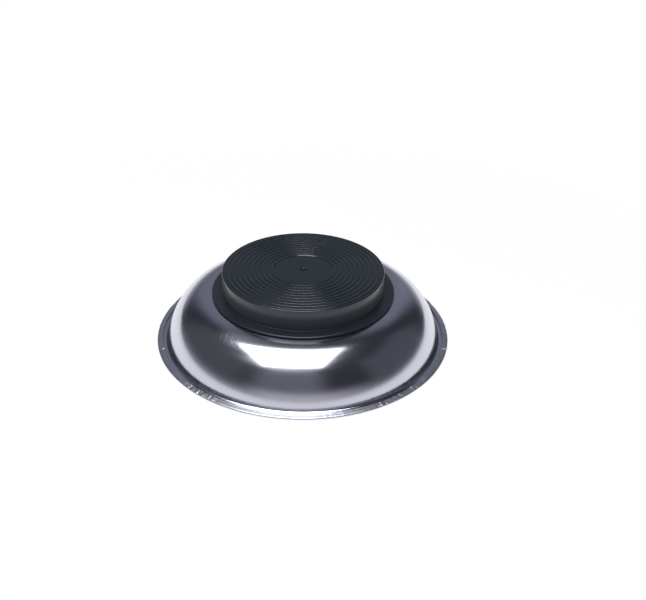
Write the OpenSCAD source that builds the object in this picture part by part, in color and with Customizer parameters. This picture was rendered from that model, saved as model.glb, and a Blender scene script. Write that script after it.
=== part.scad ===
// Magnetic parts tray, lying face down on its rim as it does on a bench.
// The rim is on z = 0 and the foot that holds the magnet points up.
// Sizes grow from the inside out: the stock magnet sets the cover, the cover sets the base of the bowl.

/* [Magnet] */
// Outer diameter of the ferrite ring
magnet_d = 72; // [60:1:90]
// Bore of the ferrite ring
magnet_bore = 32; // [28:1:40]
// Thickness of the ferrite ring
magnet_t = 8; // [6.5:0.5:14]
// Chamfer on every edge of the ring
magnet_chamfer = 1; // [0.5:0.1:1.5]

/* [Cover] */
// Gap between the magnet and the wall of the cover
magnet_gap = 2.7; // [1.5:0.1:6]
// Wall thickness
cover_wall = 2; // [1.2:0.1:3]
// Thickness of the foot, from the ridge tops to its inner face
foot_t = 2; // [1.6:0.1:4]
// Width of the flange outside the wall
flange_w = 5.5; // [3:0.1:10]
// Thickness of the flange
flange_t = 1; // [0.8:0.1:2]
// Radius on the upper edge of the flange
flange_edge_r = 0.5; // [0.1:0.05:0.6]
// Hollow round where the wall meets the flange
cove_r = 0.2; // [0.1:0.1:1.5]
// Round on the rim of the foot
lip_r = 0.5; // [0.2:0.1:0.9]
// Thickness of the ribs that centre the magnet
rib_t = 1.6; // [0.8:0.1:3]
// Number of centring ribs
rib_count = 6; // [3:1:12]
// Clearance between the ribs and the magnet
rib_clear = 0.3; // [0.1:0.05:0.6]

/* [Foot ridges] */
// Diameter of the plain disc in the middle
disc_d = 31.2; // [20:0.2:40]
// Depth of the plain disc below the ridge tops
disc_depth = 0.3; // [0.2:0.1:0.9]
// Width of the slope around the plain disc
disc_slope = 0.3; // [0.1:0.1:1]
// Distance from ridge to ridge
ridge_pitch = 2.5; // [1.5:0.1:4]
// Depth of the grooves between the ridges
ridge_h = 0.25; // [0.1:0.05:0.9]
// Width of the flat top of a ridge
ridge_land = 0.6; // [0.3:0.1:1]
// Diameter of the dimple around the gate mark
gate_d = 3.2; // [1.6:0.1:4]
// Depth of the dimple
gate_depth = 0.4; // [0.2:0.1:0.6]
// Diameter of the gate mark
gate_nub_d = 1; // [0.5:0.1:1.4]

/* [Bowl] */
// Height of the base above the rim, outside
bowl_h = 24.5; // [21:0.5:36]
// Sheet thickness
sheet_t = 0.6; // [0.4:0.1:1]
// Outside radius of the shoulder next to the base
shoulder_r = 22.5; // [12:0.5:28]
// Outside radius of the flatter wall below the shoulder
wall_r = 33; // [24:0.5:45]
// Lean of the wall from upright where the two radii meet, in degrees
wall_turn = 40; // [30:1:55]
// How far the flange of the cover reaches past the flat of the base
flange_overhang = 1; // [0:0.1:2]
// Width of the rim outside the bend
rim_w = 4.3; // [3.6:0.1:10]
// Outside radius of the bend between wall and rim
rim_bend_r = 1.2; // [0.6:0.1:2.6]
// Width of the folded edge
hem_w = 2.8; // [1.8:0.1:3.8]
// Gap inside the folded edge
hem_gap = 0.2; // [0.2:0.1:1]

/* [Clamp] */
// Thread diameter of the screw and nut
screw_d = 5; // [4:0.5:6]
// Diameter of the screw head
head_d = 10; // [8.5:0.5:13]
// Height of the screw head
head_h = 2.8; // [2.4:0.1:4]
// Height of the straight side of the screw head
head_side_h = 0.6; // [0.3:0.1:0.8]
// Span of the cross recess
recess_span = 4.6; // [3:0.1:5.5]
// Width of the cross recess
recess_w = 1.1; // [0.8:0.1:1.4]
// Depth of the cross recess
recess_depth = 1.5; // [0.8:0.1:1.8]
// Play of the screw in the holes it passes through
hole_play = 0.5; // [0.2:0.1:1]
// Play of the screw in the nut
thread_play = 0.1; // [0.04:0.02:0.2]
// Length of screw that stands out of the nut
thread_end = 1.2; // [0.5:0.1:2]
// Room between the end of the screw and the foot
tip_clear = 1.6; // [0.3:0.1:2]
// Nut width across its flats
nut_flats = 8; // [7:0.5:10]
// Nut thickness
nut_t = 4; // [2.5:0.1:4]
// Nut corner chamfer
nut_chamfer = 0.5; // [0.2:0.1:0.8]
// Outer diameter of the seal washer
washer_d = 12; // [11:0.5:16]
// Thickness of the seal washer
washer_t = 1; // [0.5:0.1:2]
// Thickness of the dished plate
plate_t = 1.2; // [0.8:0.1:2]
// How far the plate stays inside the edge of the magnet
plate_inset = 2; // [1.5:0.5:6]
// Clearance between the dish and the bore of the magnet
dish_clear = 0.3; // [0.1:0.05:0.6]
// Inside radius of the bend at the floor of the dish
dish_bend_r = 0.8; // [0.3:0.1:2]

/* [Bonds] */
// Thickness of the foam ring under the foot
pad_t = 0.8; // [0.5:0.1:2]
// How far the foam ring stays inside the edge of the plate
pad_inset = 1; // [0.5:0.1:4]
// Thickness of the tape under the flange
tape_t = 0.2; // [0.1:0.05:0.5]
// How far the tape stays inside the land that it bonds
tape_inset = 0.5; // [0.2:0.1:1]

/* [Hidden] */
$fn = 96;
eps = 0.05;
arc_steps = 8;
wall_steps = 20;
groove_steps = 8;

// Radii, from the magnet outwards
magnet_r = magnet_d / 2;
cavity_r = magnet_r + magnet_gap;
foot_r = cavity_r + cover_wall;
flange_r = foot_r + flange_w;
base_r = flange_r - flange_overhang;
hem_h = 2 * sheet_t + hem_gap;
disc_r = disc_d / 2;
ridge_count = floor((foot_r - lip_r - disc_r) / ridge_pitch + 0.5);
dish_r = magnet_bore / 2 - dish_clear;
plate_r = magnet_r - plate_inset;
hole_r = (screw_d + hole_play) / 2;

// Heights, from the rim up
inner_base_z = bowl_h - sheet_t;
head_z = inner_base_z - washer_t;
flange_z = bowl_h + tape_t;
plate_z = bowl_h + magnet_t;
pad_z = plate_z + plate_t;
foot_inner_z = pad_z + pad_t;
foot_z = foot_inner_z + foot_t;
screw_tip_z = foot_inner_z - tip_clear;
nut_z = screw_tip_z - thread_end - nut_t;
dish_z = nut_z - plate_t;

// Centres of the shoulder and of the wall that leaves it smoothly
shoulder_c = [base_r, bowl_h - shoulder_r];
wall_c = shoulder_c - (wall_r - shoulder_r) * [cos(wall_turn), sin(wall_turn)];

// Bend between the wall and the rim, tangent to both, and the rim's radius to a tenth of a millimetre
bend_z = sheet_t + rim_bend_r;
bend_lean = asin(max(0, bend_z - wall_c[1]) / (wall_r + rim_bend_r));
bend_c = [wall_c[0] + (wall_r + rim_bend_r) * cos(bend_lean), bend_z];
rim_r = round(10 * (bend_c[0] + rim_w)) / 10;

// Points of an arc about c from angle a to angle b
function arc(c, r, a, b, steps = arc_steps) =
  [for (i = [0 : steps]) c + r * [cos(a + (b - a) * i / steps), sin(a + (b - a) * i / steps)]];

// Sheet of the bowl in section: outer face, folded edge, then back along the inner face
function bowl_section() =
  let (
    hem_c = [rim_r - hem_h / 2, hem_h / 2],
    hem_end = rim_r - hem_w
  ) concat(
    [[0, bowl_h]],
    arc(shoulder_c, shoulder_r, 90, wall_turn, wall_steps),
    arc(wall_c, wall_r, wall_turn, bend_lean, wall_steps),
    arc(bend_c, rim_bend_r, 180 + bend_lean, 270),
    arc(hem_c, hem_gap / 2, -90, 90),
    [[hem_end, hem_h - sheet_t], [hem_end, hem_h]],
    arc(hem_c, hem_h / 2, 90, -90),
    arc(bend_c, rim_bend_r + sheet_t, 270, 180 + bend_lean),
    arc(wall_c, wall_r - sheet_t, bend_lean, wall_turn, wall_steps),
    arc(shoulder_c, shoulder_r - sheet_t, wall_turn, 90, wall_steps),
    [[0, inner_base_z]]
  );

// Grooves of the foot between flat ridge tops, from the plain disc out to the last groove's floor
function groove_points() = [
  for (k = [0 : ridge_count - 1], i = [0 : k < ridge_count - 1 ? groove_steps : groove_steps / 2])
    [
      disc_r + k * ridge_pitch + ridge_land / 2 + (ridge_pitch - ridge_land) * i / groove_steps,
      foot_z - ridge_h / 2 * (1 - cos(360 * i / groove_steps))
    ]
];

// Cover in section: foot face from the gate mark outwards, wall, flange, then the inside
function cover_section() =
  let (
    disc_z = foot_z - disc_depth,
    flange_top = flange_z + flange_t
  ) concat(
    [[0, disc_z], [gate_nub_d / 2, disc_z]],
    [[gate_nub_d / 2, disc_z - gate_depth], [gate_d / 2, disc_z - gate_depth], [gate_d / 2, disc_z]],
    [[disc_r - ridge_land / 2 - disc_slope, disc_z], [disc_r - ridge_land / 2, foot_z]],
    groove_points(),
    arc([foot_r - lip_r, foot_z - lip_r], lip_r, 90, 0),
    arc([foot_r + cove_r, flange_top + cove_r], cove_r, 180, 270),
    arc([flange_r - flange_edge_r, flange_top - flange_edge_r], flange_edge_r, 90, 0),
    [[flange_r, flange_z], [cavity_r, flange_z]],
    [[cavity_r, foot_inner_z], [0, foot_inner_z]]
  );

// Dished plate in section: face towards the magnet, then back along the face towards the foot
function plate_section() =
  let (
    edge_c = [dish_r + magnet_chamfer, plate_z - magnet_chamfer],
    floor_c = [dish_r - plate_t - dish_bend_r, nut_z + dish_bend_r]
  ) concat(
    [[hole_r, dish_z]],
    arc(floor_c, dish_bend_r + plate_t, -90, 0),
    arc(edge_c, magnet_chamfer, 180, 90),
    [[plate_r, plate_z], [plate_r, pad_z]],
    arc(edge_c, magnet_chamfer + plate_t, 90, 180),
    arc(floor_c, dish_bend_r, 0, -90),
    [[hole_r, nut_z]]
  );

// Flat ring from z upwards
module ring(outer_r, inner_r, z, h) {
  translate([0, 0, z])
    difference() {
      cylinder(r = outer_r, h = h);
      translate([0, 0, -eps])
        cylinder(r = inner_r, h = h + 2 * eps);
    }
}

// Drawn and hemmed stainless sheet with the screw hole in its base
module bowl() {
  color("gainsboro")
    difference() {
      rotate_extrude() polygon(bowl_section());
      translate([0, 0, inner_base_z - eps])
        cylinder(r = hole_r, h = sheet_t + 2 * eps);
    }
}

// Moulded cover with ridged foot, flange and the ribs that centre the magnet
module magnet_cover() {
  color("#24272c") {
    rotate_extrude() polygon(cover_section());
    for (i = [0 : rib_count - 1])
      rotate(360 * i / rib_count)
        translate([magnet_r + rib_clear, -rib_t / 2, flange_z])
          cube([cavity_r + eps - magnet_r - rib_clear, rib_t, foot_inner_z + eps - flange_z]);
  }
}

// Ferrite ring, chamfered inside and outside
module ring_magnet() {
  bore_r = magnet_bore / 2;
  top_z = bowl_h + magnet_t;
  c = magnet_chamfer;
  color("#3a3a3d")
    rotate_extrude()
      polygon([
        [bore_r, bowl_h + c], [bore_r + c, bowl_h], [magnet_r - c, bowl_h], [magnet_r, bowl_h + c],
        [magnet_r, top_z - c], [magnet_r - c, top_z], [bore_r + c, top_z], [bore_r, top_z - c]
      ]);
}

// Dished plate that presses the ring against the base
module clamp_plate() {
  color("#9a9da3")
    rotate_extrude() polygon(plate_section());
}

// Domed head inside the bowl with a cross recess, and the shank up into the nut
module clamp_screw() {
  head_r = head_d / 2;
  dome_h = head_h - head_side_h;
  dome_r = (head_r * head_r + dome_h * dome_h) / (2 * dome_h);
  color("#c4c7cc") {
    difference() {
      translate([0, 0, head_z - head_h])
        intersection() {
          cylinder(r = head_r, h = head_h);
          translate([0, 0, dome_r])
            sphere(r = dome_r);
        }
      for (turn = [0, 90])
        rotate(turn)
          translate([-recess_span / 2, -recess_w / 2, head_z - head_h - eps])
            cube([recess_span, recess_w, recess_depth + eps]);
    }
    translate([0, 0, head_z - eps])
      cylinder(d = screw_d, h = screw_tip_z - head_z + eps);
  }
}

// Soft washer between the screw head and the base
module seal_washer() {
  color("#2b2b2b")
    ring(washer_d / 2, hole_r, head_z, washer_t);
}

// Hexagon nut in the dish, chamfered at its corners
module clamp_nut() {
  corner_r = nut_flats / 2 / cos(30);
  nut_top = nut_z + nut_t;
  color("#b0b3b8")
    difference() {
      intersection() {
        translate([0, 0, nut_z])
          cylinder(r = corner_r, h = nut_t, $fn = 6);
        rotate_extrude()
          polygon([
            [0, nut_z], [corner_r - nut_chamfer, nut_z], [corner_r, nut_z + nut_chamfer],
            [corner_r, nut_top - nut_chamfer], [corner_r - nut_chamfer, nut_top], [0, nut_top]
          ]);
      }
      translate([0, 0, nut_z - eps])
        cylinder(d = screw_d + thread_play, h = nut_t + 2 * eps);
    }
}

// Adhesive foam between the plate and the foot
module foot_pad() {
  color("#55585c")
    ring(plate_r - pad_inset, dish_r + magnet_chamfer, pad_z, pad_t);
}

// Adhesive ring between the flange and the flat of the base
module flange_tape() {
  color("#e6e2d2")
    ring(base_r - tape_inset, cavity_r + tape_inset, bowl_h, tape_t);
}

bowl();
magnet_cover();
ring_magnet();
clamp_plate();
clamp_screw();
seal_washer();
clamp_nut();
foot_pad();
flange_tape();
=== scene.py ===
import math

import bmesh
import bpy
from mathutils import Matrix, Vector, noise


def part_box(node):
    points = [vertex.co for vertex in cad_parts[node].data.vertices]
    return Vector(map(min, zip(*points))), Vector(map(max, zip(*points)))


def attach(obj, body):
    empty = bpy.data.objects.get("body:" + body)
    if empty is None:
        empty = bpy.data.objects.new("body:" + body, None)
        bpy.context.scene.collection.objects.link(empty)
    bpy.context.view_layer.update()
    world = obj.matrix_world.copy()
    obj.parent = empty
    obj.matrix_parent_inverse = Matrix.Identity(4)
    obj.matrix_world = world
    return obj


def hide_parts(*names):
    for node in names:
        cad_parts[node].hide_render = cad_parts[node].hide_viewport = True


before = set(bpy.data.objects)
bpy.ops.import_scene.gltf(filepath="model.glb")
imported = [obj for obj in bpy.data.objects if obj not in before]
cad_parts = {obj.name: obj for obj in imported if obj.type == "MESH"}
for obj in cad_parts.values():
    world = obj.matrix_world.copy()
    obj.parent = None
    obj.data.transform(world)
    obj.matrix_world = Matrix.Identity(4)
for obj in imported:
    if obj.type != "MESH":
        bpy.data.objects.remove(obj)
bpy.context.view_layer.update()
print("frame loaded:", len(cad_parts), "nodes")

mm = 0.001
weldGap = 0.0005 * mm  # points closer than this are joined
closeBy = 0.01 * mm  # room for rounding where points and faces are picked by their place
scene = bpy.context.scene
scene.view_settings.view_transform = "Standard"


# helpers for meshes

def arcPoint(centre, radius, degrees):
    turn = math.radians(degrees)
    return centre[0] + radius * math.cos(turn), centre[1] + radius * math.sin(turn)


def arcPoints(centre, radius, startDeg, endDeg, steps):
    span = endDeg - startDeg
    return [arcPoint(centre, radius, startDeg + span * i / steps) for i in range(steps + 1)]


def planRadius(point):
    return math.hypot(point.x, point.y)


def weldMesh(bm):
    bmesh.ops.remove_doubles(bm, verts=bm.verts[:], dist=weldGap)
    bmesh.ops.recalc_face_normals(bm, faces=bm.faces[:])


def spinProfile(points, steps, closed, sectors=12):
    # a section in the XZ plane, turned about Z: one sector, then its repeats, which is far quicker
    bm = bmesh.new()
    verts = [bm.verts.new((radius, 0, height)) for radius, height in points]
    for first, second in zip(verts, verts[1:]):
        bm.edges.new((first, second))
    if closed:
        bm.edges.new((verts[-1], verts[0]))
    about = {"cent": (0, 0, 0), "axis": (0, 0, 1)}
    sector = 2 * math.pi / sectors
    bmesh.ops.spin(bm, geom=bm.verts[:] + bm.edges[:], angle=sector,
                   steps=steps // sectors, **about)
    bmesh.ops.spin(bm, geom=bm.verts[:] + bm.edges[:] + bm.faces[:], angle=2 * math.pi - sector,
                   steps=sectors - 1, use_duplicate=True, **about)
    weldMesh(bm)  # joins the sectors and closes the poles
    return bm


def linkMesh(bm, name, material):
    mesh = bpy.data.meshes.new(name)
    bm.to_mesh(mesh)
    bm.free()
    mesh.materials.append(material)
    item = bpy.data.objects.new(name, mesh)
    scene.collection.objects.link(item)
    return item


def finishPiece(bm, name, material, sharpDeg):
    piece = linkMesh(bm, name, material)
    mesh = piece.data
    mesh.polygons.foreach_set("use_smooth", [True] * len(mesh.polygons))
    mesh.set_sharp_from_angle(angle=math.radians(sharpDeg))
    return piece


# helpers for materials

wideSpan = (0.3, 0.7)  # the part of a noise texture's range over which a look goes from low to high
narrowSpan = (0.35, 0.65)


def newMaterial(name):
    material = bpy.data.materials.new(name)
    material.use_nodes = True
    tree = material.node_tree
    return material, tree, tree.nodes["Principled BSDF"]


def setSockets(tree, node, sockets):
    for key, value in sockets.items():
        if isinstance(value, bpy.types.NodeSocket):
            tree.links.new(value, node.inputs[key])
        else:
            node.inputs[key].default_value = value


def addNode(tree, kind, settings=None, **sockets):
    # a socket goes by its name, or by its place as i0, i1 and so on
    node = tree.nodes.new(kind)
    for key, value in (settings or {}).items():
        setattr(node, key, value)
    for key, value in sockets.items():
        place = int(key[1:]) if key[0] == "i" and key[1:].isdigit() else key
        setSockets(tree, node, {place: value})
    return node


def mathNode(tree, operation, first, second=0.0):
    return addNode(tree, "ShaderNodeMath", {"operation": operation}, i0=first, i1=second).outputs[0]


def productNode(tree, first, *others):
    for other in others:
        first = mathNode(tree, "MULTIPLY", first, other)
    return first


def vectorNode(tree, operation, first, **others):
    node = addNode(tree, "ShaderNodeVectorMath", {"operation": operation}, i0=first, **others)
    return node.outputs["Value" if operation == "LENGTH" else "Vector"]


def noiseNode(tree, point, size, detail):
    noiseTexture = addNode(tree, "ShaderNodeTexNoise", Vector=point, Scale=1 / size, Detail=detail)
    return noiseTexture.outputs["Fac"]


def rampNode(tree, factor, stops):
    ramp = addNode(tree, "ShaderNodeValToRGB", Fac=factor)
    elements = ramp.color_ramp.elements
    while len(elements) < len(stops):
        elements.new(0.5)
    for element, (place, colour) in zip(elements, stops):
        element.position = place
        element.color = (*colour, 1)
    return ramp.outputs["Color"]


def rangeNode(tree, value, fromLow, fromHigh, toLow, toHigh, smooth=False):
    kind = {"interpolation_type": "SMOOTHSTEP" if smooth else "LINEAR"}
    node = addNode(tree, "ShaderNodeMapRange", kind,
                   i0=value, i1=fromLow, i2=fromHigh, i3=toLow, i4=toHigh)
    return node.outputs[0]


def risingMask(tree, value, start, fade):
    return rangeNode(tree, value, start, start + fade, 0.0, 1.0)


def fallingMask(tree, value, start, fade):
    return rangeNode(tree, value, start, start + fade, 1.0, 0.0)


def softWindow(tree, value, half, soft):
    # 1 where the value is near zero, fading to 0 around half
    away = mathNode(tree, "ABSOLUTE", value)
    return rangeNode(tree, away, half - soft, half + soft, 1.0, 0.0, smooth=True)


def mixColours(tree, factor, first, second):
    mix = addNode(tree, "ShaderNodeMix", {"data_type": "RGBA"}, Factor=factor, i6=first, i7=second)
    return mix.outputs[2]


def bumpNode(tree, height, strength, distance):
    bump = addNode(tree, "ShaderNodeBump", Strength=strength, Distance=distance, Height=height)
    return bump.outputs[0]


def objectPoint(tree):
    return addNode(tree, "ShaderNodeTexCoord").outputs["Object"]


def axesOf(tree, point):
    return addNode(tree, "ShaderNodeSeparateXYZ", i0=point).outputs


def flatPoint(tree, point):
    return vectorNode(tree, "MULTIPLY", point, i1=(1, 1, 0))


# polished stainless sheet

steelLook = {
    "tints": ((0.63, 0.637, 0.727), (0.665, 0.672, 0.765)),
    "rough": (0.145, 0.185),
    "roughShares": (0.6, 0.4),  # of the polishing lines and of the clouds
    "anisotropy": 0.3,
    "lineTurn": 0.25,  # the gloss stretches across the polishing lines
    "lineWidth": 0.25 * mm,
    "lineWander": 2.5,  # how often a line changes on its way round
    "lineBump": (0.06, 0.01 * mm),  # strength and depth
    "cloudSize": 14 * mm,
    "scratchRough": 0.22,
    "scratchFades": (0.5, 0.8),  # shares of a scratch's half length and half width
    "hemStart": 71.4 * mm,
    "hemTop": 1.6 * mm,
    "hemFades": (0.5 * mm, 0.1 * mm),  # outwards and upwards
    "hemRough": 0.33,
    "rawEdge": (72.22 * mm, 0.8 * mm),  # radius and least height of the sheared edge
    "rawWidth": 0.5 * mm,
    "rawFades": (0.02 * mm, 0.1 * mm),  # at its radius, and at its other limits
    "rawTint": (0.2, 0.2, 0.215, 1),
    "rawRough": 0.5,
}
# scratches on the shoulder: millimetres, and degrees about Z
scratches = [
    {"place": (-36.1, -40.8, 21.9), "turn": -109, "length": 6.4, "width": 0.16},
    {"place": (-38.5, -39.1, 21.8), "turn": -114, "length": 3.2, "width": 0.12},
    {"place": (-35.4, -40.4, 22.4), "turn": -60, "length": 2.4, "width": 0.12},
    {"place": (-33.3, -42.9, 22.1), "turn": -98, "length": 4.2, "width": 0.14},
    {"place": (-32.7, -44.7, 21.6), "turn": -115, "length": 2.0, "width": 0.12},
]


def scratchMask(tree, point):
    lengthFade, widthFade = steelLook["scratchFades"]
    total = None
    for mark in scratches:
        local = addNode(tree, "ShaderNodeMapping", {"vector_type": "TEXTURE"}, Vector=point,
                        Location=Vector(mark["place"]) * mm,
                        Rotation=(0, 0, math.radians(mark["turn"])))
        axes = axesOf(tree, local.outputs[0])
        length, width = mark["length"] * mm / 2, mark["width"] * mm / 2
        inside = productNode(tree, softWindow(tree, axes["X"], length, length * lengthFade),
                             softWindow(tree, axes["Y"], width, width * widthFade))
        total = inside if total is None else mathNode(tree, "MAXIMUM", total, inside)
    return total


def hemMask(tree, out, height):
    outFade, upFade = steelLook["hemFades"]
    return productNode(tree, risingMask(tree, out, steelLook["hemStart"], outFade),
                       fallingMask(tree, height, steelLook["hemTop"], upFade))


def rawEdgeMask(tree, out, height):
    edge, low = steelLook["rawEdge"]
    outFade, fade = steelLook["rawFades"]
    return productNode(tree, fallingMask(tree, out, edge, outFade),
                       risingMask(tree, out, edge - steelLook["rawWidth"], fade),
                       risingMask(tree, height, low, fade))


def polishedSteel():
    look = steelLook
    material, tree, bsdf = newMaterial("polishedStainless")
    point = objectPoint(tree)
    height = axesOf(tree, point)["Z"]
    flat = flatPoint(tree, point)
    out = vectorNode(tree, "LENGTH", flat)
    # polishing lines run round the bowl, so the noise is fine across them and long around
    across = mathNode(tree, "DIVIDE", mathNode(tree, "SUBTRACT", out, height), look["lineWidth"])
    lift = addNode(tree, "ShaderNodeCombineXYZ", Z=across).outputs[0]
    facing = vectorNode(tree, "NORMALIZE", flat)
    around = vectorNode(tree, "SCALE", facing, Scale=look["lineWander"])
    lines = noiseNode(tree, vectorNode(tree, "ADD", around, i1=lift), size=1.0, detail=3.0)
    clouds = noiseNode(tree, point, look["cloudSize"], detail=4.0)
    lineShare, cloudShare = look["roughShares"]
    mixed = mathNode(tree, "ADD", productNode(tree, lines, lineShare),
                     productNode(tree, clouds, cloudShare))
    polish = rangeNode(tree, mixed, *wideSpan, *look["rough"])
    scratched = productNode(tree, scratchMask(tree, point), look["scratchRough"])
    raw = rawEdgeMask(tree, out, height)
    hemmed = productNode(tree, hemMask(tree, out, height), look["hemRough"])
    worked = mathNode(tree, "MAXIMUM", hemmed, productNode(tree, raw, look["rawRough"]))
    tint = rampNode(tree, clouds, [*zip(wideSpan, look["tints"])])
    tangent = addNode(tree, "ShaderNodeTangent", {"direction_type": "RADIAL", "axis": "Z"})
    setSockets(tree, bsdf, {
        "Base Color": mixColours(tree, raw, tint, look["rawTint"]),
        "Roughness": mathNode(tree, "MAXIMUM", mathNode(tree, "ADD", polish, scratched), worked),
        "Normal": bumpNode(tree, lines, *look["lineBump"]),
        "Tangent": tangent.outputs[0],
        "Metallic": 1.0,
        "Anisotropic": look["anisotropy"],
        "Anisotropic Rotation": look["lineTurn"],
    })
    return material


# bowl: drawn sheet with its rim folded back

bowlSizes = {
    "sheet": 0.6 * mm,
    "baseRadius": 45.2 * mm,
    "shoulderRadius": 22.5 * mm,
    "wallRadius": 33 * mm,
    "wallTurn": 40,
    "rimBend": 1.2 * mm,
    "hemWidth": 2.8 * mm,
    "hemGap": 0.2 * mm,
    "hemLean": 5,  # the fold springs open a little, so its top slopes outwards
    "holeRadius": 2.75 * mm,
    "support": 0.15 * mm,
    "steps": 960,
    "wallSteps": 18,
    "insideSteps": 10,
    "bendSteps": 6,
    "hemSteps": 8,
    "sharpDeg": 40,
    "crinkleFall": 0.75 * mm,
    "crinkleMiddle": 0.35,  # share of the press at which the hem keeps its height
    "crinklePull": 0.05 * mm,
    "crinkleLength": 0.8 * mm,
    "crinkleSkew": 0.25,  # how much the crinkles change across the hem
    "patchLength": 24 * mm,
    "patchLevels": (0.45, 0.7, 1.6),  # least, middle and swing of the crinkles' strength
    "calmArc": (-93, 24, 12),  # middle, half span and fade of a flatter stretch, in degrees
    "calmShare": 0.3,
}


def bowlSection():
    size = bowlSizes
    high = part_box("bowl")[1]
    rimRadius, top = high.x, high.z
    sheet, bend, near = size["sheet"], size["rimBend"], size["support"]
    baseRadius, hole = size["baseRadius"], size["holeRadius"]
    shoulder, wall, turn = size["shoulderRadius"], size["wallRadius"], size["wallTurn"]
    shoulderCentre = (baseRadius, top - shoulder)
    wallCentre = arcPoint(shoulderCentre, shoulder - wall, turn)
    bendHeight = sheet + bend
    lean = math.degrees(math.asin((bendHeight - wallCentre[1]) / (wall + bend)))
    bendCentre = arcPoint(wallCentre, wall + bend, lean)
    hemHeight = 2 * sheet + size["hemGap"]
    hemCentre = (rimRadius - hemHeight / 2, hemHeight / 2)
    hemEnd = rimRadius - size["hemWidth"]
    points = [(hole, top), (hole + near, top), (baseRadius - near, top)]
    points += arcPoints(shoulderCentre, shoulder, 90, turn, size["wallSteps"])
    points += arcPoints(wallCentre, wall, turn, lean, size["wallSteps"])[1:]
    points += arcPoints(bendCentre, bend, 180 + lean, 270, size["bendSteps"])[1:]
    points += arcPoints(hemCentre, size["hemGap"] / 2, -90, 90, size["hemSteps"] - 2)
    points += [(hemEnd + near, hemHeight - sheet), (hemEnd, hemHeight - sheet)]
    points += [(hemEnd, hemHeight), (hemEnd + near, hemHeight)]
    points += arcPoints(hemCentre, hemHeight / 2, 90, -90, size["hemSteps"])
    points += arcPoints(bendCentre, bend + sheet, 270, 180 + lean, size["bendSteps"])
    points += arcPoints(wallCentre, wall - sheet, lean, turn, size["insideSteps"])[1:]
    points += arcPoints(shoulderCentre, shoulder - sheet, turn, 90, size["insideSteps"])[1:]
    points += [(baseRadius - near, top - sheet), (hole + near, top - sheet), (hole, top - sheet)]
    return points


def crinkleHem(bm):
    # folding the sheet round a curve leaves the hem wavy, less so along the calm stretch
    size = bowlSizes
    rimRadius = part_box("bowl")[1].x
    hemHeight = 2 * size["sheet"] + size["hemGap"]
    hemSlope = math.tan(math.radians(size["hemLean"]))
    least, middle, swing = size["patchLevels"]
    calmMiddle, calmSpan, calmFade = size["calmArc"]
    calmShare = size["calmShare"]
    for vert in bm.verts:
        radius = planRadius(vert.co)
        if radius < rimRadius - size["hemWidth"] - closeBy:
            continue
        ringPoint = Vector((vert.co.x, vert.co.y, 0)) * (rimRadius / radius)
        skew = Vector((0, 0, size["crinkleSkew"] * radius))
        fine = noise.noise((ringPoint + skew) / size["crinkleLength"])
        patch = min(1, max(least, middle + swing * noise.noise(ringPoint / size["patchLength"])))
        away = abs(math.degrees(math.atan2(vert.co.y, vert.co.x)) - calmMiddle)
        patch *= calmShare + (1 - calmShare) * min(1, max(0, (away - calmSpan) / calmFade))
        press = patch * (0.5 + 0.5 * fine)
        inward = (radius - size["crinklePull"] * press) / radius
        lower = 1 - size["crinkleFall"] * (press - size["crinkleMiddle"] * patch) / hemHeight
        lower -= hemSlope * (radius - rimRadius + size["hemWidth"]) / hemHeight
        vert.co = Vector((vert.co.x * inward, vert.co.y * inward, vert.co.z * lower))


def makeBowl(material):
    bm = spinProfile(bowlSection(), bowlSizes["steps"], closed=True)
    crinkleHem(bm)
    piece = finishPiece(bm, "steelBowl", material, bowlSizes["sharpDeg"])
    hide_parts("bowl")
    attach(piece, "root")
    print("bowl:", len(piece.data.polygons), "faces")


# black moulded plastic

mouldingLook = {
    "tints": ((0.007, 0.0105, 0.0145), (0.009, 0.013, 0.018)),
    "rough": (0.13, 0.17),
    "cloudSize": 1000 / 90 * mm,
    "grainSize": 0.18 * mm,
    "grainBump": (0.05, 0.02 * mm),  # strength and depth
    "paintedLightTint": (0.010, 0.013, 0.018, 1),
    "paintedLightHeights": (25.55 * mm, 25.75 * mm),  # painted light: the flange below gets a paler colour than the foot, so it renders lighter
    "dullHeights": (25.5 * mm, 36.5 * mm),
    # added roughness by share of that rise: most low on the wall, a trace on the foot face
    "dullness": [(0.0, 0.0), (0.05, 0.58), (0.5, 0.58), (0.77, 0.0), (0.955, 0.0), (0.98, 0.03)],
    "refraction": 1.7,
    "sheenTint": (0.86, 0.9, 1.0, 1.0),
}


def blackMoulding():
    look = mouldingLook
    material, tree, bsdf = newMaterial("blackMoulding")
    point = objectPoint(tree)
    height = axesOf(tree, point)["Z"]
    grain = noiseNode(tree, point, look["grainSize"], detail=2.0)
    clouds = noiseNode(tree, point, look["cloudSize"], detail=4.0)
    tint = rampNode(tree, clouds, [*zip(narrowSpan, look["tints"])])
    # painted light: below the flange's top edge the colour turns paler, standing in for light
    paintedLight = rangeNode(tree, height, *look["paintedLightHeights"], 1.0, 0.0)
    rough = rangeNode(tree, clouds, *wideSpan, *look["rough"])
    rise = rangeNode(tree, height, *look["dullHeights"], 0.0, 1.0)
    dull = rampNode(tree, rise, [(place, (level,) * 3) for place, level in look["dullness"]])
    setSockets(tree, bsdf, {
        "Base Color": mixColours(tree, paintedLight, tint, look["paintedLightTint"]),
        "Roughness": mathNode(tree, "ADD", rough, dull),
        "Normal": bumpNode(tree, grain, *look["grainBump"]),
        "IOR": look["refraction"],
        "Specular Tint": look["sheenTint"],
    })
    return material


# cover: foot with ridges, wall, flange and the ribs inside

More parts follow.
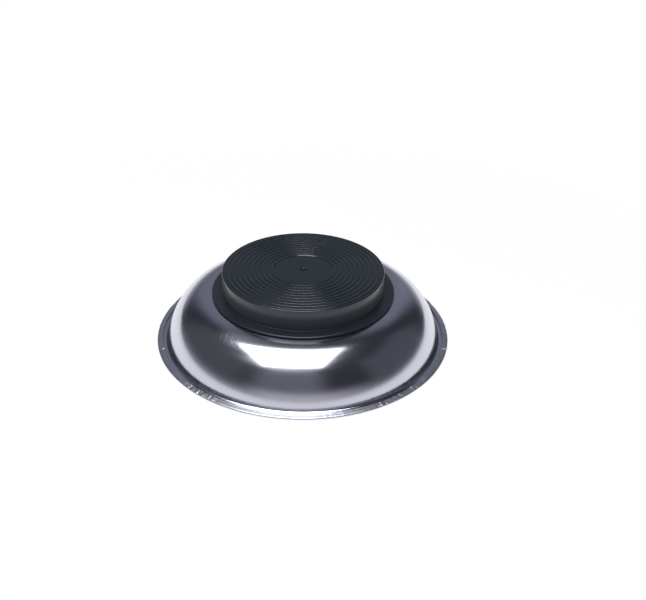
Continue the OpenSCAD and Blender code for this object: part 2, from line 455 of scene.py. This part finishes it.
coverSizes = {
    "cavityRadius": 38.7 * mm,
    "footRadius": 40.7 * mm,
    "flangeThick": 1 * mm,
    "flangeEdge": 0.5 * mm,
    "cove": 0.2 * mm,
    "lip": 0.5 * mm,
    "discRadius": 15.6 * mm,
    "discDepth": 0.3 * mm,
    "discSlope": 0.3 * mm,
    "ridgePitch": 2.5 * mm,
    "ridgeHeight": 0.25 * mm,
    "ridgeFlanks": (0.4, 0.32),  # shares of a groove's width that its inner and outer sides take
    "ridgeLand": 0.6 * mm,
    "gateRadius": 1.6 * mm,
    "gateDepth": 0.4 * mm,
    "gateNub": 0.5 * mm,
    "ribReach": 2.4 * mm,
    "ribFaces": 3,
    "ribs": 6,
    "support": 0.12 * mm,
    "steps": 456,
    "grooveSteps": 10,
    "arcSteps": 6,
    "sharpDeg": 35,
}
ribHalfTurn = coverSizes["ribFaces"] * math.pi / coverSizes["steps"]


def groovePoints(top):
    size = coverSizes
    pitch, land, steps = size["ridgePitch"], size["ridgeLand"], size["grooveSteps"]
    innerFlank, outerFlank = size["ridgeFlanks"]
    grooves = math.floor((size["footRadius"] - size["lip"] - size["discRadius"]) / pitch + 0.5)
    grooveWidth = pitch - land
    points = []
    for k in range(grooves):
        start = size["discRadius"] + k * pitch + land / 2
        last = steps if k < grooves - 1 else steps // 2  # the lip cuts the outermost groove in half
        for i in range(last + 1):
            share = i / steps
            fall = min(1, share / innerFlank, (1 - share) / outerFlank)
            depth = size["ridgeHeight"] / 2 * (1 - math.cos(math.pi * fall))
            points.append((start + grooveWidth * share, top - depth))
    return points


def coverSection():
    size = coverSizes
    low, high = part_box("magnet_cover")
    flangeRadius, flangeLow, top = high.x, low.z, high.z
    flangeTop = flangeLow + size["flangeThick"]
    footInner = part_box("foot_pad")[1].z
    foot, lip, cove = size["footRadius"], size["lip"], size["cove"]
    edge, near, cavity = size["flangeEdge"], size["support"], size["cavityRadius"]
    nub, nubEdge, gate = size["gateNub"], near / 4, size["gateRadius"]
    discHeight = top - size["discDepth"]
    gateHeight = discHeight - size["gateDepth"]
    discEnd = size["discRadius"] - size["ridgeLand"] / 2
    slopeStart = discEnd - size["discSlope"]
    points = [(0, discHeight), (nub - nubEdge, discHeight), (nub, discHeight - nubEdge)]
    points += [(nub, gateHeight), (gate, gateHeight)]
    points += [(gate, discHeight - near), (gate + near, discHeight)]
    points += [(slopeStart - near, discHeight), (slopeStart, discHeight), (discEnd, top)]
    points += groovePoints(top)
    points += arcPoints((foot - lip, top - lip), lip, 90, 0, size["arcSteps"])
    points += arcPoints((foot + cove, flangeTop + cove), cove, 180, 270, size["arcSteps"])
    points += arcPoints((flangeRadius - edge, flangeTop - edge), edge, 90, 0, size["arcSteps"])
    points += [(flangeRadius, flangeLow), (cavity, flangeLow), (cavity, footInner)]
    points += [(cavity - size["ribReach"], footInner), (0, footInner)]
    return points


def addRibs(bm):
    # ribs grow inwards from the wall of the cavity and run up into the foot
    cavity = coverSizes["cavityRadius"]
    ribRadius = cavity - coverSizes["ribReach"]
    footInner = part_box("foot_pad")[1].z
    spacing = 2 * math.pi / coverSizes["ribs"]

    def inRib(face):
        centre = face.calc_center_median()
        turn = math.atan2(centre.y, centre.x) % spacing
        return min(turn, spacing - turn) < ribHalfTurn

    def onWall(face):
        return max(abs(planRadius(vert.co) - cavity) for vert in face.verts) < closeBy

    def onCeiling(face):
        offCeiling = max(abs(vert.co.z - footInner) for vert in face.verts)
        outermost = max(planRadius(vert.co) for vert in face.verts)
        return offCeiling < closeBy and outermost > cavity - closeBy

    def openCeiling():
        ceiling = [face for face in bm.faces if inRib(face) and onCeiling(face)]
        bmesh.ops.delete(bm, geom=ceiling, context="FACES_ONLY")

    wall = [face for face in bm.faces if inRib(face) and onWall(face)]
    openCeiling()
    grown = bmesh.ops.extrude_face_region(bm, geom=wall)["geom"]
    bmesh.ops.delete(bm, geom=wall, context="FACES_ONLY")
    for vert in grown:
        if isinstance(vert, bmesh.types.BMVert):
            inward = ribRadius / planRadius(vert.co)
            vert.co = Vector((vert.co.x * inward, vert.co.y * inward, vert.co.z))
    openCeiling()  # the extrusion closed the ribs again where they meet the foot
    weldMesh(bm)


def makeCover(material):
    bm = spinProfile(coverSection(), coverSizes["steps"], closed=False)
    bmesh.ops.rotate(bm, verts=bm.verts[:], cent=(0, 0, 0),
                     matrix=Matrix.Rotation(ribHalfTurn, 3, "Z"))  # centres the faces of each rib
    addRibs(bm)
    piece = finishPiece(bm, "blackCover", material, coverSizes["sharpDeg"])
    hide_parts("magnet_cover")
    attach(piece, "root")
    print("cover:", len(piece.data.polygons), "faces")


# pieces inside, kept as the frame has them and given their finishes

zincTints = ((0.5, 0.52, 0.56), (0.68, 0.7, 0.72))
innerBumpDepth = 0.1 * mm
innerLooks = {
    "ring_magnet": {"tints": ((0.035, 0.035, 0.04), (0.07, 0.07, 0.075)), "metal": 0.0,
                    "rough": (0.5, 0.7), "grain": 0.4 * mm, "bump": 0.25},
    "clamp_plate": {"tints": zincTints, "metal": 1.0,
                    "rough": (0.28, 0.45), "grain": 2.5 * mm, "bump": 0.05},
    "clamp_nut": {"tints": zincTints, "metal": 1.0,
                  "rough": (0.28, 0.45), "grain": 1.2 * mm, "bump": 0.05},
    "clamp_screw": {"tints": ((0.56, 0.56, 0.58), (0.7, 0.7, 0.72)), "metal": 1.0,
                    "rough": (0.22, 0.36), "grain": 0.8 * mm, "bump": 0.05},
    "seal_washer": {"tints": ((0.022, 0.022, 0.022), (0.04, 0.04, 0.04)), "metal": 0.0,
                    "rough": (0.6, 0.8), "grain": 0.3 * mm, "bump": 0.2},
    "foot_pad": {"tints": ((0.08, 0.08, 0.085), (0.16, 0.16, 0.17)), "metal": 0.0,
                 "rough": (0.8, 0.95), "grain": 0.35 * mm, "bump": 0.6},
    "flange_tape": {"tints": ((0.62, 0.6, 0.52), (0.74, 0.72, 0.64)), "metal": 0.0,
                    "rough": (0.35, 0.55), "grain": 1.5 * mm, "bump": 0.08},
}


def innerFinish(name, look):
    material, tree, bsdf = newMaterial(name + "Finish")
    grain = noiseNode(tree, objectPoint(tree), look["grain"], detail=4.0)
    setSockets(tree, bsdf, {
        "Base Color": rampNode(tree, grain, [*zip(narrowSpan, look["tints"])]),
        "Roughness": rangeNode(tree, grain, *wideSpan, *look["rough"]),
        "Normal": bumpNode(tree, grain, look["bump"], innerBumpDepth),
        "Metallic": look["metal"],
    })
    return material


def dressInner():
    for name, look in innerLooks.items():
        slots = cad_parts[name].data.materials
        slots.clear()
        slots.append(innerFinish(name, look))
    print("inner pieces dressed:", len(innerLooks))


# camera at the photograph's viewing angle

cameraView = {
    "imageWidth": 646,
    "focalPixels": 892.46,
    "sensor": 36.0,
    "distance": 466.51 * mm,
    "elevation": 32.729,
    "pitch": 1.955,
    "yaw": 1.267,
    "roll": 0.211,
    "clip": (0.01, 20),
}


def makeCamera():
    view = cameraView
    data = bpy.data.cameras.new("camera")
    data.sensor_fit = "HORIZONTAL"
    data.sensor_width = view["sensor"]
    data.lens = view["focalPixels"] / view["imageWidth"] * view["sensor"]
    data.clip_start, data.clip_end = view["clip"]
    camera = bpy.data.objects.new("camera", data)
    scene.collection.objects.link(camera)
    tilt = math.radians(view["elevation"])
    place = Vector((0, -math.cos(tilt), math.sin(tilt))) * view["distance"]
    aim = Matrix.Rotation(math.pi / 2 - tilt + math.radians(view["pitch"]), 4, "X")
    turn = Matrix.Rotation(-math.radians(view["yaw"]), 4, "Y")
    roll = Matrix.Rotation(math.radians(view["roll"]), 4, "Z")
    camera.matrix_world = Matrix.Translation(place) @ aim @ turn @ roll
    scene.camera = camera
    print("camera: lens", round(data.lens, 2), "mm")


# floor, tent and lights of the studio

studio = {
    "floorRadius": 3.0,
    "floorSides": 128,
    "floorDrop": 0.05 * mm,
    "floorColour": (0.95, 0.95, 0.95, 1),
    "shadowReach": (0.1, 0.3),
    "shadowShare": 0.86,  # share of plain white near the object, the rest takes its shadow
    "frontReach": (-0.22, 0.05),  # reflected in metal, the floor is dimmer in front and far off
    "frontShade": 0.3,
    "sideReach": (0.12, 0.4),
    "sideShade": 0.25,
    "backReach": (0.05, 0.3),
    "tentRadius": 1.0,
    "tentFaces": (96, 48),
    "tentFoot": 1 * mm,
    "tentShade": (0.034, 0.038, 0.044),
    "boxPlace": (-0.107, -0.155, 0.75),
    "boxSize": (0.625, 0.64),
    "boxTurn": -2.5,
    "boxPower": 5.6,
    "ambient": 0.38,
}
# lighter parts of the tent: degrees aside (0 in front, right is positive) and up, each as middle,
# half span and softness
tentParts = {
    "backWall": {"aside": (180, 35, 12), "up": (30, 19, 10), "shade": (0.15, 0.157, 0.188)},
    "backGlow": {"aside": (180, 40, 12), "up": (0, 7, 8), "shade": (0.5, 0.5, 0.52)},
    "leftWall": {"aside": (-88, 36, 10), "up": (24, 28, 8), "shade": (0.045, 0.047, 0.048)},
    "leftGlow": {"aside": (-80, 35, 15), "up": (0, 5, 5), "shade": (0.18, 0.18, 0.185)},
    "frontWall": {"aside": (-12, 28, 12), "up": (26, 28, 10), "shade": (0.115, 0.113, 0.123)},
    "frontGlow": {"aside": (2, 42, 24), "up": (0, 10, 8), "shade": (0.42, 0.4, 0.42)},
    "frontTop": {"aside": (-32, 40, 16), "up": (57, 8, 7), "shade": (0.4, 0.4, 0.41)},
    "leftTop": {"aside": (-125, 32, 14), "up": (57, 5, 5), "shade": (0.2, 0.2, 0.21)},
    "rightWall": {"aside": (88, 32, 8), "up": (24, 22, 10), "shade": (0.055, 0.057, 0.06)},
    "rightGlow": {"aside": (80, 35, 15), "up": (0, 4, 4), "shade": (0.14, 0.14, 0.145)},
    "rightBack": {"aside": (152, 10, 6), "up": (14, 14, 10), "shade": (0.04, 0.042, 0.05)},
}


def seenDirectly(tree, path):
    # 1 for what the camera, metal and glass see, 0 for light that only falls on things
    seen = mathNode(tree, "ADD", path.outputs["Is Camera Ray"], path.outputs["Is Glossy Ray"])
    seen = mathNode(tree, "ADD", seen, path.outputs["Is Transmission Ray"])
    return mathNode(tree, "MINIMUM", seen, 1.0)


def stageMaterial(name):
    material, tree = newMaterial(name)[:2]
    tree.nodes.clear()
    return material, tree


def floorMaterial():
    material, tree = stageMaterial("whiteFloor")
    path = addNode(tree, "ShaderNodeLightPath")
    point = objectPoint(tree)
    far = vectorNode(tree, "LENGTH", point)
    depth = axesOf(tree, point)["Y"]
    share = rangeNode(tree, far, *studio["shadowReach"], studio["shadowShare"], 1.0)
    front = rangeNode(tree, depth, *studio["frontReach"], studio["frontShade"], 0.0, smooth=True)
    side = productNode(tree, rangeNode(tree, far, *studio["sideReach"], 0.0, studio["sideShade"]),
                       rangeNode(tree, depth, *studio["backReach"], 1.0, 0.0))
    dimmer = productNode(tree, path.outputs["Is Glossy Ray"], mathNode(tree, "ADD", front, side))
    white = addNode(tree, "ShaderNodeEmission", Color=(1, 1, 1, 1),
                    Strength=mathNode(tree, "SUBTRACT", 1.0, dimmer)).outputs[0]
    matte = addNode(tree, "ShaderNodeBsdfDiffuse", Color=studio["floorColour"]).outputs[0]
    factor = productNode(tree, seenDirectly(tree, path), share)
    mixed = addNode(tree, "ShaderNodeMixShader", i0=factor, i1=matte, i2=white).outputs[0]
    addNode(tree, "ShaderNodeOutputMaterial", Surface=mixed)
    return material


def tentMaterial():
    material, tree = stageMaterial("tentCloth")
    point = objectPoint(tree)
    axes = axesOf(tree, point)
    out = vectorNode(tree, "LENGTH", flatPoint(tree, point))
    elevation = mathNode(tree, "ARCTAN2", axes["Z"], out)
    azimuth = mathNode(tree, "ARCTAN2", axes["X"], productNode(tree, axes["Y"], -1.0))
    glow = studio["tentShade"]
    for part in tentParts.values():
        aside, span, softAside = (math.radians(value) for value in part["aside"])
        up, rise, softUp = (math.radians(value) for value in part["up"])
        turn = addNode(tree, "ShaderNodeMath", {"operation": "WRAP"}, i1=math.pi, i2=-math.pi,
                       i0=mathNode(tree, "SUBTRACT", azimuth, aside)).outputs[0]
        lift = mathNode(tree, "SUBTRACT", elevation, up)
        inside = productNode(tree, softWindow(tree, turn, span, softAside),
                             softWindow(tree, lift, rise, softUp))
        lit = vectorNode(tree, "SCALE", part["shade"], Scale=inside)
        glow = vectorNode(tree, "ADD", glow, i1=lit)
    light = addNode(tree, "ShaderNodeEmission", Color=glow, Strength=1.0).outputs[0]
    addNode(tree, "ShaderNodeOutputMaterial", Surface=light)
    return material


def stageObject(bm, name, material):
    item = linkMesh(bm, name, material)
    return item


def makeStage():
    bm = bmesh.new()
    bmesh.ops.create_circle(bm, cap_ends=True, radius=studio["floorRadius"],
                            segments=studio["floorSides"])
    bmesh.ops.translate(bm, verts=bm.verts[:], vec=(0, 0, -studio["floorDrop"]))
    stageObject(bm, "floor", floorMaterial())
    bm = bmesh.new()
    around, upwards = studio["tentFaces"]
    bmesh.ops.create_uvsphere(bm, u_segments=around, v_segments=upwards,
                              radius=studio["tentRadius"])
    bmesh.ops.bisect_plane(bm, geom=bm.verts[:] + bm.edges[:] + bm.faces[:], clear_outer=True,
                           plane_co=(0, 0, studio["tentFoot"]), plane_no=(0, 0, -1))
    tent = stageObject(bm, "tent", tentMaterial())
    tent.visible_camera = False  # the tent shows only in reflections
    tent.visible_diffuse = False
    tent.visible_shadow = False
    tent.visible_transmission = False
    tent.visible_volume_scatter = False
    print("stage: floor and a tent with", len(tentParts), "lighter parts")


def makeLights():
    box = bpy.data.lights.new("softbox", "AREA")
    box.shape = "RECTANGLE"
    box.size, box.size_y = studio["boxSize"]
    box.energy = studio["boxPower"]
    lamp = bpy.data.objects.new("softbox", box)
    lamp.location = studio["boxPlace"]
    lamp.rotation_euler.z = math.radians(studio["boxTurn"])
    scene.collection.objects.link(lamp)
    world = bpy.data.worlds.new("studioWorld")
    world.use_nodes = True
    tree = world.node_tree
    tree.nodes.clear()
    seen = seenDirectly(tree, addNode(tree, "ShaderNodeLightPath"))
    dim, white = [addNode(tree, "ShaderNodeBackground", Color=(1, 1, 1, 1), Strength=level)
                  for level in (studio["ambient"], 1.0)]
    mixed = addNode(tree, "ShaderNodeMixShader", i0=seen, i1=dim.outputs[0],
                    i2=white.outputs[0]).outputs[0]
    addNode(tree, "ShaderNodeOutputWorld", Surface=mixed)
    scene.world = world
    print("lights: softbox and world")


makeCamera()
makeBowl(polishedSteel())
makeCover(blackMoulding())
dressInner()
makeStage()
makeLights()
